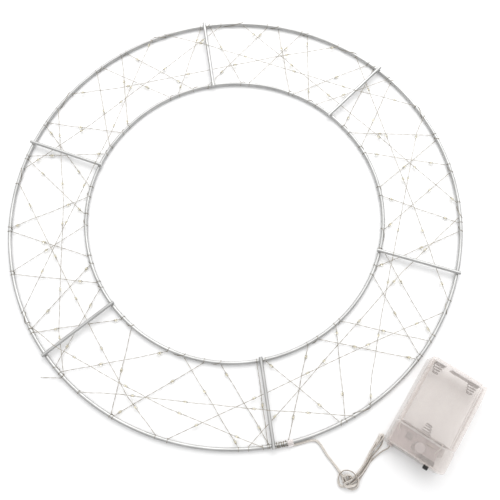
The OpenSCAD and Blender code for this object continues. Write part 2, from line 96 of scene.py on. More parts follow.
# The stops of the string on the rings, as the angles where it arrives and leaves
LAP_1 = [
    (286.5, 286.5), (301.4, 305.8), (322.8, 324.1), (337.6, 341.3), (358, 0.3), (10.1, 13.7),
    (24.1, 25.7), (39.7, 43.5), (51.3, 53.2), (68.5, 70.4), (81.1, 84.2), (104.5, 111),
    (125.7, 127.4), (142.1, 145.8), (155.7, 156.9), (172.1, 176.2), (186.9, 188), (200.7, 204),
    (214.5, 215.7), (228.8, 233.5), (243.9, 244.6), (263.3, 269.2), (282, 282)]
LAP_2 = [
    (281.6, 281.6), (282.2, 285.3), (299.1, 300.5), (313.7, 316.3), (328.2, 329.9), (348.5, 356.4),
    (14.2, 16.4), (29.1, 32.3), (44.9, 46.2), (58, 61.7), (72.5, 74.2), (87.5, 90.9),
    (100.7, 103.3), (117.2, 121.1), (133.7, 135.8), (153.4, 157), (166.5, 167.5), (183.4, 188.2),
    (198.7, 199.6), (211.8, 214.4), (225.9, 227.9), (249.7, 255.9), (274.9, 274.9)]
CHORDS_LOW = [(277.2, 277.2), (1.6, 5.7), (91.2, 97.4), (170.4, 174.8), (255.5, 255.5)]
CHORDS_MID = [(258.5, 258.5), (336.2, 339.5), (57.4, 63.2), (145.3, 151), (229, 229)]
CHORDS_TOP = [(280.5, 280.5), (213, 209.9), (117.7, 113.6), (35.1, 31.4), (307.2, 302.6), (234.5, 234.5)]
# Where the chords bend, in millimetres and degrees: radius, angle and, in the top layer, height
BENDS = {
    "chords_low": [[(154, 342.5)], [(148.5, 37)], [(160.5, 149.5)], [(157.5, 226), (178.5, 245)]],
    "chords_mid": [
        [(162.5, 318.5)], [(156.5, 8)], [(162.5, 81), (169.5, 135)], [(153.5, 177.5), (178.5, 219)]],
    "chords_top": [
        [(174.5, 256, 3), (174, 238, 3.9), (187.5, 222, 4.6)],
        [(134.2, 162.4, 4.6), (138, 148.5, 3.9)],
        [(173.5, 102.3, 4.6), (164, 50.3, 4.6)],
        [(184, 28.2, 2.1), (142.3, 347.1, 4.6), (151.5, 329, 3.5), (183, 311, 2.3)],
        [(171, 283.2, 4.6), (165, 266, 3.6), (178.5, 244.5, 2.4)]]}
# The tip of the string's free end, and the spare turns' first angle, last angle and number
TAIL_TIP = (-148.5, -151, 0.6)
SPARE_TURNS = (283.5, 286.1, 10)
# The sleeve's end angles, its radius, and how much further it reaches on the lead's side, 38 degrees down
SLEEVE = (286.15, 287.5)
SLEEVE_R = 2.35 * MM
SLEEVE_BULGE = 0.85 * MM
SLEEVE_DOWN = math.radians(38)
# A drop's usual half length and half width, and its chip's half sizes, height over the wire and bevel
DROP_LONG = 1.85 * MM
DROP_WIDE = 1.08 * MM
CHIP_HALF = (0.7 * MM, 0.38 * MM, 0.25 * MM)
CHIP_LIFT = 0.3 * MM
CHIP_BEVEL = 0.12 * MM

# The flat twin lead: its size in metres, and the stretches that lie in the open in millimetres
LEAD_WIDE = 2 * MM
LEAD_THIN = 1.1 * MM
LEAD_RUN = [
    (59.6, -191.4, 1), (62.5, -190.6, 1), (65.3, -189.7, 1), (68.1, -188.7, 1), (71.1, -187.7, 1),
    (74.5, -186.9, 1), (77.9, -187.3, 1), (80.6, -189.4, 1), (83, -192.6, 1), (85.5, -196.2, 1),
    (88.2, -199.5, 1), (91, -202.6, 1), (93.6, -205.6, 1.1), (95.9, -208.5, 1.3),
    (97.4, -210.5, 1.2)]
LEAD_TAIL = [
    (120.9, -199, 1), (123.4, -196.6, 1), (125.9, -194.3, 1), (128.4, -192.3, 1.2), (131, -190.7, 1.8),
    (133.3, -189.2, 2.6)]

# The rest of the lead's route has its roll in degrees too: 0 lies flat, and 90 is on edge.
# Under the knot and up the left of the hank
LEAD_UP_LEFT = [
    (99.4, -213.4, 1.1, 60), (102, -215.8, 1.1, 60), (104.8, -215.6, 1.1, 60), (107.2, -212.6, 1.1, 60),
    (111.8, -206.5, 1.1, 60), (115.6, -200.8, 1.1, 60), (119.5, -193.2, 1.1, 60),
    (123.4, -186.5, 1.1, 60)]
# Round the far end, and down on the right and then on top
LEAD_ROUND_TIP = [
    (126.2, -181.8, 1.1, 50), (127.2, -180, 1.2, 40), (128.6, -179.2, 1.3, 50),
    (129.9, -179.9, 1.3, 70), (130, -181.6, 1.2, 90), (129.3, -184.2, 1.1, 90), (128.4, -187, 1.1, 90),
    (126.7, -189.5, 1.1, 90), (124.3, -192.3, 1.1, 90), (121.6, -195.6, 1.2, 80),
    (119.6, -199.1, 2.2, 60), (117.2, -202.8, 3, 60), (114.2, -207.4, 3.3, 60),
    (110.9, -211.4, 3.6, 60), (107.3, -214.9, 4, 60), (104.8, -216.8, 3.4, 50)]
# The left of the knot, its standing arch, and its right and foot
LEAD_ARCH = [
    (102.2, -218.6, 2.2, 20), (99.2, -219.5, 1.6, 10), (96.6, -218.8, 1.4, 10), (95.3, -216.2, 1.4, 40),
    (95.2, -212.8, 1.6, 80), (96.6, -209.6, 2.2, 90), (99.6, -207.6, 3, 90), (103, -207.4, 3.9, 90),
    (106.2, -208.8, 4.8, 90), (108.7, -211.4, 5, 80), (110.1, -214.2, 4.4, 60), (110.2, -217, 3.6, 40),
    (108.8, -219.7, 2.6, 30), (106.2, -220.8, 1.8, 20), (103.4, -220.2, 1.2, 20), (101, -217.8, 1, 40)]
# Up the middle of the hank, and back on top of it
LEAD_UP_MIDDLE = [
    (108.8, -213.4, 1.4, 60), (113.1, -207.2, 1.1, 60), (116.9, -201.5, 1.1, 60),
    (120.7, -193.9, 1.1, 60), (124.2, -187.5, 1.7, 60), (126.1, -183.9, 2.8, 50), (127, -181, 3.3, 30),
    (128.5, -179.4, 3.4, 20), (129.7, -180.4, 3.4, 20), (129.2, -182.3, 3.4, 30),
    (127.2, -184.6, 3.3, 50), (124.9, -187.3, 3.2, 60), (122.6, -190, 3.2, 60),
    (120.1, -193.6, 3.2, 60), (116.2, -201.2, 3.3, 60), (112.2, -206.8, 3.4, 60)]
# Over the knot, round its foot, and out beside the hank to the box
LEAD_OUT = [
    (108.6, -210.8, 3.9, 60), (105.8, -213.2, 4.6, 50), (103.2, -215, 5, 30), (100.6, -216.2, 4.6, 20),
    (99.8, -218, 3.9, 10), (101.6, -219.2, 3.5, 10), (104.4, -218.8, 3.6, 20), (107.2, -218, 3.2, 30),
    (110, -215.4, 2.4, 50), (112.2, -211.8, 1.4, 60), (115, -207.6, 1.1, 60), (117.2, -204, 1.1, 70),
    (119, -201.2, 1, 80)]

# The battery box's own frame
BOX_AT = Vector((168.7, -161.8, 0)) * MM
BOX_TURN = math.radians(-29.3)
BOSS_Y = -29.6
BOX = Matrix.Translation(BOX_AT) @ Matrix.Rotation(BOX_TURN, 4, "Z")

# Inside the box, in its own millimetres: the lead's last points, across, along and up
LEAD_INSIDE = [(-17.5, -38, 3.4), (-17.5, -35.5, 3.4), (-17.5, -33, 3.4)]

# The springs: the height of their axis, their wire, their base and tip radii and their turns
SPRING_Z = 9.2 * MM
SPRING_WIRE = 0.35 * MM
SPRING_BASE_R = 4.2 * MM
SPRING_TIP_R = 2.2 * MM
SPRING_COILS = 5

# The floor, the light and the camera, whose height is above the rings' middle and whose turn is in degrees
FLOOR_HALF = 3.0
KEY_AT = (0.2, 1.2, 1.3)
KEY_SIZE = (1.8, 1.2)
KEY_WATTS = 15
SKY_LEAN = 0.4
SKY_STRENGTH = 1.35
SKY_LOW = (0.36, 0.36, 0.365)
SKY_MIDDLE = (0.5, 0.5, 0.505)
LENS_MM = 42.21
CAMERA_AT = (0.03525, -0.18314, 0.48429)
CAMERA_TURN = (17.256, 1.182, 3.389)


# ---------- Materials ----------

class Shader:
    """A Principled material, with short calls for its textures."""

    def __init__(self, name, color, roughness, metallic=0.0, **sockets):
        self.material = bpy.data.materials.new(name)
        self.material.use_nodes = True
        self.tree = self.material.node_tree
        self.bsdf = self.tree.nodes["Principled BSDF"]
        self.set(self.bsdf, "Base Color", (*color, 1))
        self.set(self.bsdf, "Roughness", roughness)
        self.set(self.bsdf, "Metallic", metallic)
        for name_, value in sockets.items():
            self.set(self.bsdf, name_.replace("_", " "), value)
        self.coords = self.add("ShaderNodeTexCoord").outputs["Object"]

    def add(self, kind):
        return self.tree.nodes.new(kind)

    def set(self, node, socket, value):
        node.inputs[socket].default_value = value

    def link(self, a, b):
        self.tree.links.new(a, b)

    def noise(self, scale, detail, stretch=(1, 1, 1)):
        mapping = self.add("ShaderNodeMapping")
        self.set(mapping, "Scale", stretch)
        self.link(self.coords, mapping.inputs["Vector"])
        texture = self.add("ShaderNodeTexNoise")
        self.link(mapping.outputs["Vector"], texture.inputs["Vector"])
        self.set(texture, "Scale", scale)
        self.set(texture, "Detail", detail)
        return texture.outputs["Fac"]

    def ramp(self, value, stops):
        ramp = self.add("ShaderNodeValToRGB")
        self.link(value, ramp.inputs["Fac"])
        elements = ramp.color_ramp.elements
        while len(elements) < len(stops):
            elements.new(0.5)
        for element, (place, color) in zip(elements, stops):
            element.position = place
            element.color = (*color, 1)
        return ramp.outputs["Color"]

    def spread(self, value, low, high):
        part = self.add("ShaderNodeMapRange")
        self.link(value, part.inputs["Value"])
        self.set(part, "From Min", 0.3)
        self.set(part, "From Max", 0.7)
        self.set(part, "To Min", low)
        self.set(part, "To Max", high)
        return part.outputs["Result"]

    def tint(self, value, stops):
        self.link(self.ramp(value, stops), self.bsdf.inputs["Base Color"])

    def dull(self, value, low, high):
        self.link(self.spread(value, low, high), self.bsdf.inputs["Roughness"])

    def bump(self, height, strength, distance):
        bump = self.add("ShaderNodeBump")
        self.set(bump, "Strength", strength)
        self.set(bump, "Distance", distance)
        self.link(height, bump.inputs["Height"])
        self.link(bump.outputs["Normal"], self.bsdf.inputs["Normal"])

    def uv(self):
        return self.add("ShaderNodeUVMap").outputs["UV"]


def grey(v):
    return (v, v, v * 0.985)


def wire_material():
    """Bright drawn wire with a thin zinc coat, a little dulled in patches."""
    s = Shader("ring_wire", grey(0.54), 0.4, 1.0)
    patches = s.noise(60, 4)
    s.tint(patches, [(0.3, grey(0.48)), (0.5, grey(0.54)), (0.72, grey(0.6))])
    s.dull(s.noise(240, 3), 0.34, 0.48)
    s.bump(s.noise(900, 2), 0.25, 0.05 * MM)
    return s.material


def weld_material():
    """Heat-dulled steel with a rough skin."""
    s = Shader("weld", grey(0.36), 0.45, 1.0)
    s.tint(s.noise(900, 4), [(0.3, (0.24, 0.22, 0.2)), (0.7, grey(0.45))])
    s.bump(s.noise(1500, 3), 0.5, 0.1 * MM)
    return s.material


def string_material():
    """Fine silvery wire."""
    s = Shader("string_wire", (0.36, 0.32, 0.25), 0.4, 1.0)
    s.tint(s.noise(40, 2), [(0.3, (0.3, 0.26, 0.2)), (0.7, (0.44, 0.4, 0.33))])
    s.dull(s.noise(400, 2), 0.28, 0.45)
    return s.material


def resin_material():
    """Cured drop of resin, a little yellow."""
    s = Shader("led_resin", (0.97, 0.95, 0.86), 0.08, 0.0, Transmission_Weight=0.88, IOR=1.36)
    s.tint(s.noise(300, 2), [(0.35, (0.98, 0.97, 0.92)), (0.7, (0.95, 0.92, 0.83))])
    s.bump(s.noise(700, 2), 0.2, 0.08 * MM)
    return s.material


def chip_material():
    """Yellow coat of the LED chip inside the drop."""
    s = Shader("led_chip", (0.8, 0.72, 0.5), 0.5)
    s.tint(s.noise(2000, 2), [(0.3, (0.74, 0.66, 0.44)), (0.7, (0.86, 0.79, 0.6))])
    return s.material


def sleeve_material():
    """Clear shrink sleeve, wrinkled where it has shrunk."""
    s = Shader("clear_sleeve", (0.84, 0.78, 0.76), 0.3, 0.0, Transmission_Weight=0.35, IOR=1.4)
    s.dull(s.noise(500, 3), 0.24, 0.4)
    s.bump(s.noise(420, 3, (1, 1, 0.3)), 0.4, 0.15 * MM)
    return s.material


def lead_material():
    """Translucent flexible sheath over two cores, with painted shade as dark lines along both edges and along
    the groove between the cores.
    """
    s = Shader("lead", (0.74, 0.68, 0.64), 0.32, 0.0, Transmission_Weight=0.2, IOR=1.45)
    s.set(s.bsdf, "Subsurface Weight", 0.15)
    s.set(s.bsdf, "Subsurface Radius", (0.6 * MM, 0.55 * MM, 0.5 * MM))
    split = s.add("ShaderNodeSeparateXYZ")
    s.link(s.uv(), split.inputs["Vector"])
    wave = s.add("ShaderNodeMath")
    wave.operation = "MULTIPLY"
    s.link(split.outputs["Y"], wave.inputs[0])
    wave.inputs[1].default_value = 4 * math.pi
    painted_shade_bands = s.add("ShaderNodeMath")
    painted_shade_bands.operation = "COSINE"
    s.link(wave.outputs["Value"], painted_shade_bands.inputs[0])
    # Painted shade: dark bands along the cord's two edges and its middle groove, lighter over the two cores.
    s.tint(
        painted_shade_bands.outputs["Value"],
        [(0.0, (0.78, 0.74, 0.69)), (0.6, (0.66, 0.61, 0.55)), (1.0, (0.25, 0.2, 0.16))])
    s.dull(s.noise(200, 3), 0.26, 0.42)
    s.bump(s.noise(1200, 2), 0.15, 0.05 * MM)
    return s.material


def frosted_material(name, color, veil, roughness):
    """Frosted translucent moulding: a milky veil over what lies behind it, with a fine texture."""
    s = Shader(name, color, roughness, 0.0, IOR=1.45)
    darker = tuple(c * 0.975 for c in color)
    s.tint(s.noise(45, 3), [(0.35, color), (0.65, darker)])
    s.dull(s.noise(130, 3), roughness - 0.05, roughness + 0.06)
    s.link(s.spread(s.noise(260, 3), veil - 0.015, veil + 0.015), s.bsdf.inputs["Alpha"])
    s.bump(s.noise(2600, 2), 0.12, 0.03 * MM)
    return s.material


def plated_material(name, shade, roughness):
    """Nickel-plated sheet or wire, with faint brushing and handling marks."""
    s = Shader(name, grey(shade), roughness, 1.0)
    s.tint(s.noise(260, 3), [(0.3, grey(shade * 0.82)), (0.7, grey(min(1, shade * 1.1)))])
    s.dull(s.noise(700, 3, (1, 6, 1)), roughness - 0.08, roughness + 0.12)
    s.bump(s.noise(1400, 2), 0.15, 0.03 * MM)
    return s.material


def board_material():
    """Paper laminate with a coat of lacquer, and copper tracks that show as darker bands."""
    s = Shader("board", (0.34, 0.28, 0.28), 0.4)
    fibres = s.noise(700, 4, (1, 0.2, 1))
    s.tint(fibres, [(0.3, (0.27, 0.22, 0.22)), (0.7, (0.36, 0.3, 0.29))])
    s.set(s.bsdf, "Coat Weight", 0.35)
    s.bump(s.noise(900, 3), 0.2, 0.05 * MM)
    return s.material


def plastic_material(name, color, roughness):
    """Plain moulding with a fine texture."""
    s = Shader(name, color, roughness)
    dark = tuple(c * 0.86 for c in color)
    s.tint(s.noise(350, 3), [(0.3, dark), (0.7, color)])
    s.dull(s.noise(900, 3), roughness - 0.06, roughness + 0.1)
    s.bump(s.noise(2200, 2), 0.25, 0.05 * MM)
    return s.material


def floor_material():
    """Plain white surface."""
    s = Shader("floor", (0.93, 0.93, 0.93), 0.6)
    s.tint(s.noise(8, 2), [(0.3, (0.925, 0.925, 0.925)), (0.7, (0.935, 0.935, 0.935))])
    return s.material


WIRE = wire_material()
WELD = weld_material()
STRING = string_material()
RESIN = resin_material()
CHIP = chip_material()
CLEAR = sleeve_material()
LEAD = lead_material()
FROSTED = frosted_material("box_plastic", (0.88, 0.8, 0.755), 0.2, 0.32)
BOSS = frosted_material("box_boss", (0.5, 0.445, 0.435), 0.8, 0.32)
CONTACT = plated_material("contact", 0.27, 0.3)
SPRING = plated_material("spring", 0.16, 0.28)
SCREW = plated_material("screw", 0.3, 0.35)
TIN = plated_material("switch_housing", 0.04, 0.35)
BOARD = board_material()
BLACK = plastic_material("black_plastic", (0.008, 0.008, 0.009), 0.5)
EPOXY = plastic_material("chip", (0.17, 0.15, 0.15), 0.55)
LACQUER = plastic_material("resistor", (0.36, 0.3, 0.26), 0.3)
PALE = plastic_material("battery_wire", (0.62, 0.58, 0.54), 0.35)
CORE = plastic_material("core", (0.7, 0.62, 0.5), 0.35)


# ---------- Meshes ----------

def new_object(name, verts, faces, materials, body=BODY, slots=None, uvs=None):
    mesh = bpy.data.meshes.new(name)
    mesh.from_pydata([tuple(v) for v in verts], [], faces)
    for material in materials:
        mesh.materials.append(material)
    if slots is not None:
        mesh.polygons.foreach_set("material_index", slots)
    mesh.polygons.foreach_set("use_smooth", [True] * len(mesh.polygons))
    if uvs is not None:
        layer = mesh.uv_layers.new(name="UVMap")
        for loop in mesh.loops:
            layer.data[loop.index].uv = uvs[loop.vertex_index]
    mesh.validate()
    mesh.update()
    obj = bpy.data.objects.new(name, mesh)
    bpy.context.collection.objects.link(obj)
    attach(obj, body)
    return obj


def frames_along(points, closed=False):
    """Tangents and parallel-transported normals of a line of points, as arrays."""
    p = np.array(points, dtype=float)
    if closed:
        t = np.roll(p, -1, 0) - np.roll(p, 1, 0)
    else:
        t = np.gradient(p, axis=0)
    t /= np.linalg.norm(t, axis=1)[:, None]
    n = np.zeros_like(p)
    side = np.cross(t[0], (0.0, 0.0, 1.0))
    if np.linalg.norm(side) < 0.1:
        side = np.cross(t[0], (0.0, 1.0, 0.0))
    n[0] = side / np.linalg.norm(side)
    for i in range(1, len(p)):
        v = n[i - 1] - t[i] * np.dot(n[i - 1], t[i])
        n[i] = v / np.linalg.norm(v)
    return p, t, n, np.cross(t, n)


def sweep(points, radii, sides, closed=False, round_ends=False):
    """Vertices and faces of a tube along a line, with one radius or one for each point."""
    p, t, n, b = frames_along(points, closed)
    if round_ends:
        p, t, n, b, radii = with_round_ends(p, t, n, b, radii)
    count = len(p)
    radii = np.broadcast_to(np.array(radii, dtype=float), (count,))
    verts = []
    for i in range(count):
        for k in range(sides):
            a = 2 * math.pi * k / sides
            verts.append(p[i] + radii[i] * (math.cos(a) * n[i] + math.sin(a) * b[i]))
    faces = []
    rings = count if closed else count - 1
    for i in range(rings):
        for k in range(sides):
            j, m = (i + 1) % count, (k + 1) % sides
            faces.append((i * sides + k, i * sides + m, j * sides + m, j * sides + k))
    if not closed:
        faces.append(tuple(reversed(range(sides))))
        faces.append(tuple((count - 1) * sides + k for k in range(sides)))
    return verts, faces


def with_round_ends(p, t, n, b, radii):
    """Adds two smaller rings at each end of a tube, so that its ends are rounded."""
    radii = np.broadcast_to(np.array(radii, dtype=float), (len(p),))
    first = [(0.45, 0.0), (0.85, 0.35)]
    parts = []
    for arr in (p, t, n, b):
        parts.append([arr[0], arr[0]] + list(arr) + [arr[-1], arr[-1]])
    r0, r1 = radii[0], radii[-1]
    for i, (scale, back) in enumerate(first):
        parts[0][i] = p[0] + t[0] * r0 * (back - 1) * 0.5
        parts[0][-1 - i] = p[-1] - t[-1] * r1 * (back - 1) * 0.5
    out = [r0 * first[0][0], r0 * first[1][0]] + list(radii) + [r1 * first[1][0], r1 * first[0][0]]
    return tuple(np.array(x) for x in parts) + (np.array(out),)


def merge(parts):
    """One list of vertices and one of faces from several of each."""
    verts, faces = [], []
    for part_verts, part_faces in parts:
        base = len(verts)
        verts += list(part_verts)
        faces += [tuple(base + i for i in face) for face in part_faces]
    return verts, faces


def smooth_line(points, step):
    """A Catmull-Rom line through points, resampled at about even steps."""
    p = [np.array(q, dtype=float) for q in points]
    p = [2 * p[0] - p[1]] + p + [2 * p[-1] - p[-2]]
    dense = []
    for i in range(1, len(p) - 2):
        for k in range(12):
            u = k / 12
            dense.append(0.5 * (
                2 * p[i] + (p[i + 1] - p[i - 1]) * u
                + (2 * p[i - 1] - 5 * p[i] + 4 * p[i + 1] - p[i + 2]) * u * u
                + (3 * p[i] - p[i - 1] - 3 * p[i + 1] + p[i + 2]) * u ** 3))
    dense.append(p[-2])
    return resample(dense, step)


def resample(points, step):
    """The same line at even steps along it. Columns after x, y and z are carried along."""
    p = np.array(points, dtype=float)
    lengths = np.concatenate([[0], np.cumsum(np.linalg.norm(np.diff(p[:, :3], axis=0), axis=1))])
    count = max(2, int(round(lengths[-1] / step)) + 1)
    at = np.linspace(0, lengths[-1], count)
    return np.stack([np.interp(at, lengths, column) for column in p.T], axis=1)


def rounded(node, width, material, body=BODY, segments=2):
    """A CAD node's shape with its flat faces made whole and its edges rounded."""
    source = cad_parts[node]
    bm = bmesh.new()
    bm.from_mesh(source.data)
    bmesh.ops.remove_doubles(bm, verts=bm.verts, dist=1e-6)
    bmesh.ops.dissolve_limit(bm, angle_limit=math.radians(1.5), verts=bm.verts, edges=bm.edges)
    sharp = [
        e for e in bm.edges
        if e.is_manifold and e.calc_face_angle(0) > math.radians(35) and e.calc_length() > 1.5 * width]
    bmesh.ops.bevel(
        bm, geom=sharp, offset=width, offset_type="OFFSET", segments=segments, profile=0.6,
        affect="EDGES", clamp_overlap=True)
    bmesh.ops.triangulate(bm, faces=bm.faces)
    mesh = bpy.data.meshes.new(node + "_skin")
    bm.to_mesh(mesh)
    bm.free()
    mesh.materials.append(material)
    for polygon in mesh.polygons:
        polygon.use_smooth = True
    mesh.set_sharp_from_angle(angle=math.radians(40))
    obj = bpy.data.objects.new(node + "_skin", mesh)
    bpy.context.collection.objects.link(obj)
    weighted = obj.modifiers.new("normals", "WEIGHTED_NORMAL")
    weighted.keep_sharp = True
    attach(obj, body)
    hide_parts(node)
    return obj


def polar(r, angle, z):
    a = math.radians(angle)
    return Vector((r * math.cos(a), r * math.sin(a), z))


# ---------- Frame ----------

def ring_wire(name, node, radius, seam):
    """A ring bent from one length of wire: a hair out of true, with a small butt weld at its seam."""
    count = 720
    points, radii = [], []
    phase = random.uniform(0, 360)
    for i in range(count):
        a = 360 * i / count
        wobble = 0.06 * MM * math.sin(math.radians(3 * a + phase)) + 0.04 * MM * math.sin(math.radians(7 * a))
        points.append(polar(radius + wobble, a, RING_Z))
        gap = (a - seam + 180) % 360 - 180
        arc = math.radians(gap) * radius
        radii.append(WIRE_R + SEAM_RISE * math.exp(-(arc / SEAM_WIDE) ** 2))
    obj = new_object(name, *sweep(points, radii, 24, closed=True), [WIRE])
    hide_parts(node)


def spoke_wires():
    """Straight spokes with sheared ends, and the squeezed metal of their welds."""
    for k, (outer, inner) in enumerate(SPOKES):
        a = polar(OUTER_R + SPOKE_OVERHANG, outer, SPOKE_Z)
        b = polar(INNER_R - SPOKE_OVERHANG, inner, SPOKE_Z)
        d = (b - a).normalized()
        points = [a, a + d * 0.15 * MM]
        radii = [WIRE_R * 0.86, WIRE_R]
        steps = 40
        length = (b - a).length
        for i in range(1, steps):
            points.append(a + d * length * i / steps)
            radii.append(WIRE_R)
        points += [b - d * 0.15 * MM, b]
        radii += [WIRE_R, WIRE_R * 0.86]
        obj = new_object(f"spoke_wire_{k + 1}", *sweep(points, radii, 24), [WIRE])
        sharpen(obj, 40)
        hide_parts(f"spoke_{k + 1}")
        for ring, r, angle in (("outer", OUTER_R, outer), ("inner", INNER_R, inner)):
            weld(f"weld_{ring}_{k + 1}", polar(r, angle, (RING_Z + SPOKE_Z) / 2), d)


def sharpen(obj, degrees):
    obj.data.set_sharp_from_angle(angle=math.radians(degrees))


def weld(name, at, along):
    """The lip of metal that a resistance weld squeezes out between two crossed wires."""
    bm = bmesh.new()
    bmesh.ops.create_icosphere(bm, subdivisions=4, radius=1)
    across = Vector((-along.y, along.x, 0))
    for v in bm.verts:
        bulge = 1 + 0.1 * math.sin(5 * v.co.x + 3 * v.co.y) + random.uniform(-0.03, 0.03)
        flat = v.co * bulge
        spread = along * flat.x * WELD_REACH + across * flat.y * WELD_REACH
        v.co = at + spread + Vector((0, 0, flat.z * WELD_RISE))
    mesh = bpy.data.meshes.new(name)
    bm.to_mesh(mesh)
    bm.free()
    mesh.materials.append(WELD)
    for polygon in mesh.polygons:
        polygon.use_smooth = True
    obj = bpy.data.objects.new(name, mesh)
    bpy.context.collection.objects.link(obj)
    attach(obj, BODY)


# ---------- Light string ----------

def on_turn(ring, angle, phi):
    """Point of a turn round a ring's wire. phi 0 faces away from the middle of the frame, 90 is the top."""
    r = (OUTER_R, INNER_R)[ring]
    return polar(r + WINDING_R * math.cos(phi), angle, RING_Z + WINDING_R * math.sin(phi))


def arrival(ring, layer):
    """phi where a span at this height meets its turn, on the side where the string is."""
    rise = math.asin(min(1, layer * MM / WINDING_R))
    return math.pi - rise if ring == 0 else rise


def winding(ring, a1, a2, layer):
    """Two turns round the wire that step along it from a1 to a2."""
    start = arrival(ring, layer)
    swing = (a2 - a1 + 540) % 360 - 180
    turns = 2 if swing else 1
    step = 15
    count = 360 * turns // step
    points = []
    for i in range(count + 1):
        t = i / count
        s = min(1, max(0, (t - 0.3) / 0.4))
        s = s * s * (3 - 2 * s)
        drift = math.degrees(TURN_STEP / (OUTER_R, INNER_R)[ring]) * (t - 0.5)
        points.append(on_turn(ring, a1 + swing * s + drift, start + 2 * math.pi * turns * t))
    return points


def span(a, b, bends):
    """Points of a stretch between two stops, a little wavy as fine wire is."""
    corners = [a] + bends + [b]
    points = []
    for p, q in zip(corners, corners[1:]):
        length = (q - p).length
        count = max(2, int(length / SPAN_STEP))
        across = Vector((-(q - p).y, (q - p).x, 0)).normalized()
        waves = [(random.uniform(-SPAN_WAVE, SPAN_WAVE), n) for n in (1, 2, 3, 5)]
        for i in range(count):
            t = i / count
            off = sum(amount * math.sin(math.pi * n * t) for amount, n in waves)
            points.append(p.lerp(q, t) + across * off)
    points.append(b)
    return points[1:-1]


def corner(bend, layer):
    """Point where a chord bends, at its own height if it has one."""
    height = bend[2] if len(bend) > 2 else layer
    return polar(bend[0] * MM, bend[1], RING_Z + height * MM)


def string_line(stops, layer, zigzag, bends, first_winding):
    """One run of the string: to and fro between the rings in a zigzag, or else on the outer ring only."""
    points = []
    for i, (a1, a2) in enumerate(stops):
        ring = i % 2 if zigzag else 0
        if i < first_winding:
            here = [on_turn(ring, a1, arrival(ring, layer))]
        else:
            here = winding(ring, a1, a2, layer)
        if points:
            between = [corner(bend, layer) for bend in bends[i - 1]] if bends else []
            points += span(points[-1], here[0], between)
        points += here
    return points


def twisted(points):
    """Two fine strands lightly twisted about a line."""
    p, _, n, b = frames_along(points)
    length = np.concatenate([[0], np.cumsum(np.linalg.norm(np.diff(p, axis=0), axis=1))])
    parts = []
    for side in (0, math.pi):
        a = 2 * math.pi * length / STRAND_PITCH + side
        centre = p + STRAND_R * (np.cos(a)[:, None] * n + np.sin(a)[:, None] * b)
        parts.append(sweep(centre, STRAND_R, 6))
    return merge(parts)


def light_string():
    """The five runs of the string with their drops, and the spare turns."""
    runs = [
        ("lap_1", LAP_1, True, 1), ("lap_2", LAP_2, True, 0), ("chords_low", CHORDS_LOW, False, 0),
        ("chords_mid", CHORDS_MID, False, 0), ("chords_top", CHORDS_TOP, False, 0)]
    for run, stops, zigzag, first in runs:
        line = string_line(stops, LAYERS[run], zigzag, BENDS.get(run), first)
        if run == "chords_mid":
            last = CHORDS_MID[-1][1]
            over = [on_turn(0, last, math.pi / 2), on_turn(0, last + 0.05, 0.3)]
            tail = [line[-1], *over, Vector(TAIL_TIP) * MM]
            line += [Vector(q) for q in smooth_line(tail, 0.8 * MM)[1:]]
        obj = new_object("string_wire_" + run, *twisted(line), [STRING])
        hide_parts("string_" + run)
        drops("drops_" + run, "leds_" + run)
    spare_turns()


def spare_turns():
    """The slack end of the string, wound round the ring in loose uneven turns."""
    a0, a1, turns = SPARE_TURNS
    count = turns * 24
    points = []
    for i in range(count + 1):
        t = i / count
        phi = 2 * math.pi * turns * t
        angle = a0 + (a1 - a0) * t + 0.16 * math.sin(31 * t) + 0.09 * math.sin(77 * t)
        reach = WINDING_R * (1.04 + 0.26 * math.sin(19 * t + 1) ** 2)
        rise = math.sin(phi) * (reach if math.sin(phi) > 0 else WINDING_R)
        points.append(polar(OUTER_R + reach * math.cos(phi), angle, RING_Z + rise))
    obj = new_object("spare_turns", *twisted(points), [STRING])
    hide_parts("start_winding")


def islands(node):
    """Middle and axis of each separate solid of a CAD node."""
    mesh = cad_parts[node].data
    co = np.empty(len(mesh.vertices) * 3)
    mesh.vertices.foreach_get("co", co)
    co = co.reshape(-1, 3)
    keys = {}
    where = np.array([keys.setdefault(tuple(c), len(keys)) for c in np.round(co, 6)])
    parent = list(range(len(keys)))

    def root(i):
        while parent[i] != i:
            parent[i] = parent[parent[i]]
            i = parent[i]
        return i

    for edge in mesh.edges:
        a, b = root(where[edge.vertices[0]]), root(where[edge.vertices[1]])
        if a != b:
            parent[a] = b
    groups = {}
    for i, key in enumerate(where):
        groups.setdefault(root(key), []).append(i)
    found = []
    for members in groups.values():
        points = co[members]
        middle = (points.min(0) + points.max(0)) / 2
        values, vectors = np.linalg.eigh(np.cov((points - middle).T))
        found.append((Vector(middle), Vector(vectors[:, int(np.argmax(values))])))
    return sorted(found, key=lambda f: (round(f[0].x, 5), round(f[0].y, 5)))


# A drop's outline: place along the wire and radius, in half lengths and half widths
DROP = [
    (-1.25, 0.2), (-1.12, 0.24), (-0.98, 0.36), (-0.84, 0.58), (-0.66, 0.8), (-0.44, 0.94), (-0.18, 1.0),
    (0.1, 1.0), (0.36, 0.95), (0.6, 0.83), (0.8, 0.62), (0.95, 0.4), (1.1, 0.26), (1.25, 0.2)]


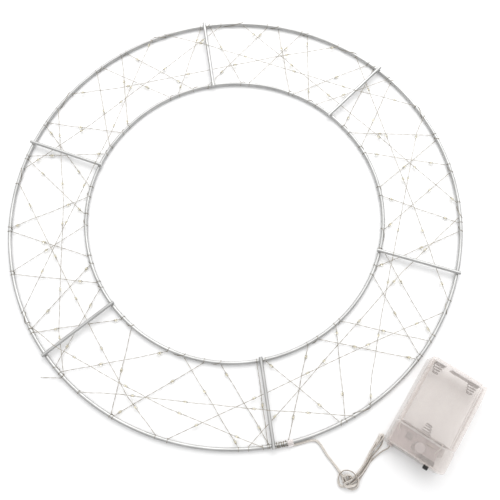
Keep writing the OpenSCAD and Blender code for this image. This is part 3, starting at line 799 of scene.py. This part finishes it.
def drops(name, node):
    """The drops of resin of one run, each with its chip inside."""
    verts, faces, slots = [], [], []
    sides = 16
    for middle, axis in islands(node):
        side = axis.cross(Vector((0, 0, 1))).normalized()
        up = side.cross(axis)
        long = DROP_LONG * random.uniform(0.9, 1.12)
        wide = DROP_WIDE * random.uniform(0.88, 1.05)
        lean = random.uniform(-0.12, 0.12)
        base = len(verts)
        for place, radius in DROP:
            for k in range(sides):
                a = 2 * math.pi * k / sides
                r = radius * wide
                off = side * (math.cos(a) * r * 1.04 + lean * radius * wide) + up * math.sin(a) * r * 0.95
                verts.append(middle + axis * place * long + off)
        rows = len(DROP)
        for i in range(rows - 1):
            for k in range(sides):
                m = (k + 1) % sides
                near, far = base + i * sides, base + (i + 1) * sides
                faces.append((near + k, far + k, far + m, near + m))
                slots.append(0)
        faces.append(tuple(base + k for k in range(sides)))
        faces.append(tuple(base + (rows - 1) * sides + k for k in reversed(range(sides))))
        slots += [0, 0]
        add_chip(verts, faces, slots, middle, axis, side, up)
    obj = new_object(name, verts, faces, [RESIN, CHIP], slots=slots)
    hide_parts(node)


def add_chip(verts, faces, slots, middle, axis, side, up):
    """A small bevelled block on the wire, inside the drop."""
    base = len(verts)
    half = CHIP_HALF
    for z, inset in ((-1, 0), (0.6, 0), (1, CHIP_BEVEL)):
        for x, y in ((-1, -1), (1, -1), (1, 1), (-1, 1)):
            verts.append(
                middle + axis * x * (half[0] - inset) + side * y * (half[1] - inset)
                + up * (CHIP_LIFT + z * half[2]))
    faces.append(tuple(base + k for k in (3, 2, 1, 0)))
    faces.append(tuple(base + 8 + k for k in range(4)))
    slots += [1, 1]
    for level in (0, 4):
        for k in range(4):
            m = (k + 1) % 4
            faces.append(tuple(base + level + j for j in (k, m, m + 4, k + 4)))
            slots.append(1)


def joint_sleeve():
    """Shrunk sleeve round the ring, the end of the string and the end of the lead."""
    a0, a1 = SLEEVE
    rows, sides = 26, 36
    verts = []
    for i in range(rows):
        t = i / (rows - 1)
        a = a0 + (a1 - a0) * t
        end = min(t, 1 - t) * (rows - 1)
        shrink = (0.8, 0.92, 0.98)[int(end)] if end < 3 else 1.0
        ripple = 0.05 * MM * math.sin(t * 23) + 0.03 * MM * math.sin(t * 51)
        for k in range(sides):
            b = 2 * math.pi * k / sides
            reach = SLEEVE_R + SLEEVE_BULGE * max(0, math.cos(b + SLEEVE_DOWN)) ** 2
            reach = (reach + ripple) * shrink
            height = max(0, RING_Z + 0.35 * MM + reach * math.sin(b) * 0.98)
            verts.append(polar(OUTER_R + 0.25 * MM + reach * math.cos(b), a, height))
    faces = []
    for i in range(rows - 1):
        for k in range(sides):
            m = (k + 1) % sides
            faces.append((i * sides + k, i * sides + m, (i + 1) * sides + m, (i + 1) * sides + k))
    faces.append(tuple(reversed(range(sides))))
    faces.append(tuple((rows - 1) * sides + k for k in range(sides)))
    obj = new_object("joint_sleeve_skin", verts, faces, [CLEAR])
    sharpen(obj, 50)
    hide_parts("joint_sleeve")


# ---------- Lead ----------

def flat_twin(line, roll):
    """Vertices, faces and UVs of a flat two-core cord. It lies flat where roll is 0, and on edge at 90."""
    sides = 20
    p = np.array(line)
    t = np.gradient(p, axis=0)
    t /= np.linalg.norm(t, axis=1)[:, None]
    across = np.cross(t, (0.0, 0.0, 1.0))
    across /= np.linalg.norm(across, axis=1)[:, None]
    up = np.cross(across, t)
    length = np.concatenate([[0], np.cumsum(np.linalg.norm(np.diff(p, axis=0), axis=1))])
    verts, uvs = [], []
    for i in range(len(p)):
        a = math.radians(roll[i])
        wide = math.cos(a) * across[i] + math.sin(a) * up[i]
        thin = -math.sin(a) * across[i] + math.cos(a) * up[i]
        for k in range(sides):
            b = 2 * math.pi * k / sides
            x = math.cos(b)
            y = math.sin(b) * (1 - 0.28 * math.exp(-((x / 0.3) ** 2)))
            verts.append(p[i] + LEAD_WIDE / 2 * x * wide + LEAD_THIN / 2 * y * thin)
            uvs.append((length[i], (x + 1) / 2))
    faces = []
    for i in range(len(p) - 1):
        for k in range(sides):
            m = (k + 1) % sides
            faces.append((i * sides + k, i * sides + m, (i + 1) * sides + m, (i + 1) * sides + k))
    faces.append(tuple(reversed(range(sides))))
    faces.append(tuple((len(p) - 1) * sides + k for k in range(sides)))
    return verts, faces, uvs


def knot_turns():
    """Two small turns inside the knot, one over the other."""
    points = []
    for side, lift in ((0, 0), (1.6, 1.3)):
        points.append((98.8 + side, -215 + side, 2.2 + lift, 50))
        points.append((98.6 + side, -212.4 + side / 2, 2.5 + lift, 60))
        points += [(100.8 + side, -210.8, 2.7 + lift, 60), (103.2 + side, -211.4, 2.7 + lift, 60)]
        points += [(103.8 + side, -213.6, 2.7 + lift, 60), (102 + side, -215.6, 2.9 + lift, 60)]
    return points + [(103.4, -217.6, 1.9, 60), (105.9, -217, 1.5, 60)]


def lead_points():
    """The whole lead in millimetres, with its roll: along the ring, through knot and hank, and to the box."""
    start = [(x, y, z, min(20, 4 * i)) for i, (x, y, z) in enumerate(LEAD_RUN)]
    end = [(x, y, z, 90) for x, y, z in LEAD_TAIL]
    return start + LEAD_UP_LEFT + LEAD_ROUND_TIP + LEAD_ARCH + knot_turns() + LEAD_UP_MIDDLE + LEAD_OUT + end


def lead_line():
    """Points of the lead's middle in metres, and its roll in degrees at each."""
    rows = [(x * MM, y * MM, z * MM, roll) for x, y, z, roll in lead_points()]
    rows += [(*(BOX @ (Vector(inside) * MM)), 90) for inside in LEAD_INSIDE]
    line = smooth_line(rows, 0.5 * MM)
    roll = np.radians(line[:, 3])
    resting = LEAD_WIDE / 2 * np.abs(np.sin(roll)) + LEAD_THIN / 2 * np.abs(np.cos(roll))
    line[:, 2] = np.maximum(line[:, 2], resting)
    return line[:, :3], line[:, 3]


def lead():
    line, roll = lead_line()
    verts, faces, uvs = flat_twin(line, roll)
    obj = new_object("lead_cord", verts, faces, [LEAD], uvs=uvs)
    sharpen(obj, 60)
    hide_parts("lead_run", "lead_knot", "lead_hank", "lead_tail")


# ---------- Battery box ----------

def spring(name, node, material):
    """A conical coil spring with closed end turns, in the place of its CAD node."""
    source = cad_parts[node]
    inverse = BOX.inverted()
    co = np.array([tuple(inverse @ v.co) for v in source.data.vertices])
    low, high = co.min(0), co.max(0)
    x, z = (low[0] + high[0]) / 2, SPRING_Z
    far = co[:, 1].mean() > 0
    foot, tip = (high[1], low[1]) if far else (low[1], high[1])
    wire = SPRING_WIRE
    sign = 1 if foot > tip else -1
    per_turn = 30
    count = SPRING_COILS * per_turn
    points = []
    for i in range(count + 1):
        f = i / count
        rise = min(1, max(0, (f - 0.14) / 0.72))
        r = SPRING_BASE_R + (SPRING_TIP_R - SPRING_BASE_R) * rise
        a = 2 * math.pi * i / per_turn
        y = foot - sign * wire - sign * (abs(foot - tip) - 2 * wire) * rise
        points.append(BOX @ Vector((x + r * math.cos(a), y - sign * 0.5 * wire * f, z + r * math.sin(a))))
    obj = new_object(name, *sweep(points, wire, 10), [material])
    sharpen(obj, 50)
    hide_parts(node)


def knob():
    """The slide knob, with three ribs across the end that a finger pushes."""
    obj = rounded("switch_knob", 0.3 * MM, BLACK, KNOB_BODY, 3)
    inverse = BOX.inverted()
    corners = [inverse @ v.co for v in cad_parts["switch_knob"].data.vertices]
    x0, x1 = min(c.x for c in corners), max(c.x for c in corners)
    y0 = min(c.y for c in corners)
    z0, z1 = min(c.z for c in corners), max(c.z for c in corners)
    parts = []
    for f in (0.25, 0.5, 0.75):
        x = x0 + (x1 - x0) * f
        line = [BOX @ Vector((x, y0 + 0.02 * MM, z0 + (z1 - z0) * g)) for g in (0.12, 0.3, 0.5, 0.7, 0.88)]
        parts.append(sweep(line, 0.22 * MM, 10, round_ends=True))
    ribs = new_object("knob_ribs", *merge(parts), [BLACK], KNOB_BODY)


def battery_box():
    rounded("box_base", 0.3 * MM, FROSTED)
    rounded("controller_lid", 0.3 * MM, FROSTED)
    rounded("box_cover", 0.25 * MM, FROSTED, COVER_BODY)
    boss_pad()
    rounded("lid_screw", 0.08 * MM, SCREW)
    for node in ("contact_negative", "contact_link_top", "contact_link_bottom", "contact_positive"):
        rounded(node, 0.12 * MM, CONTACT)
    for node in ("spring_left", "spring_middle", "spring_right"):
        spring(node + "_coil", node, SPRING)
    rounded("circuit_board", 0.08 * MM, BOARD)
    rounded("driver_chip", 0.1 * MM, EPOXY)
    rounded("board_resistor", 0.15 * MM, LACQUER)
    rounded("switch_housing", 0.15 * MM, TIN)
    rounded("cable_bush", 0.2 * MM, CLEAR)
    knob()
    paint("battery_wires", PALE)
    paint("lead_cores", CORE)


def boss_pad():
    """The lid is thick over its boss, and so much less clear there: a milky lens-shaped pad inside it."""
    profile = [
        (0, 18.3), (2.2, 18.28), (3.4, 18.2), (3.9, 18.0), (4.1, 17.6), (4.1, 16.4), (3.9, 16.2), (0, 16.1)]
    sides = 48
    verts, faces = [], []
    for r, z in profile:
        for k in range(sides):
            a = 2 * math.pi * k / sides
            verts.append(BOX @ (Vector((r * math.cos(a), BOSS_Y + r * math.sin(a), z)) * MM))
    for i in range(len(profile) - 1):
        for k in range(sides):
            m = (k + 1) % sides
            faces.append((i * sides + k, (i + 1) * sides + k, (i + 1) * sides + m, i * sides + m))
    pad = new_object("boss_pad", verts, faces, [BOSS])


def paint(node, material):
    """Gives a better material to a CAD node that stays."""
    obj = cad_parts[node]
    for slot_ in obj.material_slots:
        slot_.material = material


# ---------- Stage ----------

def floor():
    mesh = bpy.data.meshes.new("floor")
    corners = [(x * FLOOR_HALF, y * FLOOR_HALF, 0) for x, y in ((-1, -1), (1, -1), (1, 1), (-1, 1))]
    mesh.from_pydata(corners, [], [(0, 1, 2, 3)])
    mesh.materials.append(floor_material())
    obj = bpy.data.objects.new("floor", mesh)
    bpy.context.collection.objects.link(obj)


def key_light():
    """A large soft light beyond the far side of the wreath, aimed at its middle."""
    light = bpy.data.lights.new("key", "AREA")
    light.shape = "RECTANGLE"
    light.size, light.size_y = KEY_SIZE
    light.energy = KEY_WATTS
    obj = bpy.data.objects.new("key", light)
    bpy.context.collection.objects.link(obj)
    obj.location = KEY_AT
    obj.rotation_euler = (-Vector(KEY_AT)).to_track_quat("-Z", "Y").to_euler()


def sky():
    """A white room, brighter overhead and on the far side than on the near side."""
    world = bpy.data.worlds.new("studio")
    bpy.context.scene.world = world
    world.use_nodes = True
    tree = world.node_tree
    background = tree.nodes["Background"]
    coords = tree.nodes.new("ShaderNodeTexCoord")
    split = tree.nodes.new("ShaderNodeSeparateXYZ")
    ramp = tree.nodes.new("ShaderNodeValToRGB")
    tree.links.new(coords.outputs["Generated"], split.inputs["Vector"])
    lean = tree.nodes.new("ShaderNodeMath")
    lean.operation = "MULTIPLY_ADD"
    tree.links.new(split.outputs["Y"], lean.inputs[0])
    lean.inputs[1].default_value = SKY_LEAN
    tree.links.new(split.outputs["Z"], lean.inputs[2])
    tree.links.new(lean.outputs["Value"], ramp.inputs["Fac"])
    tree.links.new(ramp.outputs["Color"], background.inputs["Color"])
    elements = ramp.color_ramp.elements
    elements[0].position, elements[0].color = 0.02, (*SKY_LOW, 1)
    elements[1].position, elements[1].color = 1.0, (1, 1, 1, 1)
    elements.new(0.5).color = (*SKY_MIDDLE, 1)
    background.inputs["Strength"].default_value = SKY_STRENGTH
    bpy.context.scene.view_settings.view_transform = "Standard"


def camera():
    data = bpy.data.cameras.new("camera")
    data.sensor_width = 36
    data.lens = LENS_MM
    data.clip_start = 0.01
    obj = bpy.data.objects.new("camera", data)
    bpy.context.collection.objects.link(obj)
    obj.location = (CAMERA_AT[0], CAMERA_AT[1], CAMERA_AT[2] + RING_Z)
    obj.rotation_euler = [math.radians(a) for a in CAMERA_TURN]
    bpy.context.scene.camera = obj


camera()
lead()
ring_wire("outer_ring_wire", "outer_ring", OUTER_R, 12)
ring_wire("inner_ring_wire", "inner_ring", INNER_R, 200)
spoke_wires()
light_string()
joint_sleeve()
battery_box()
floor()
key_light()
sky()
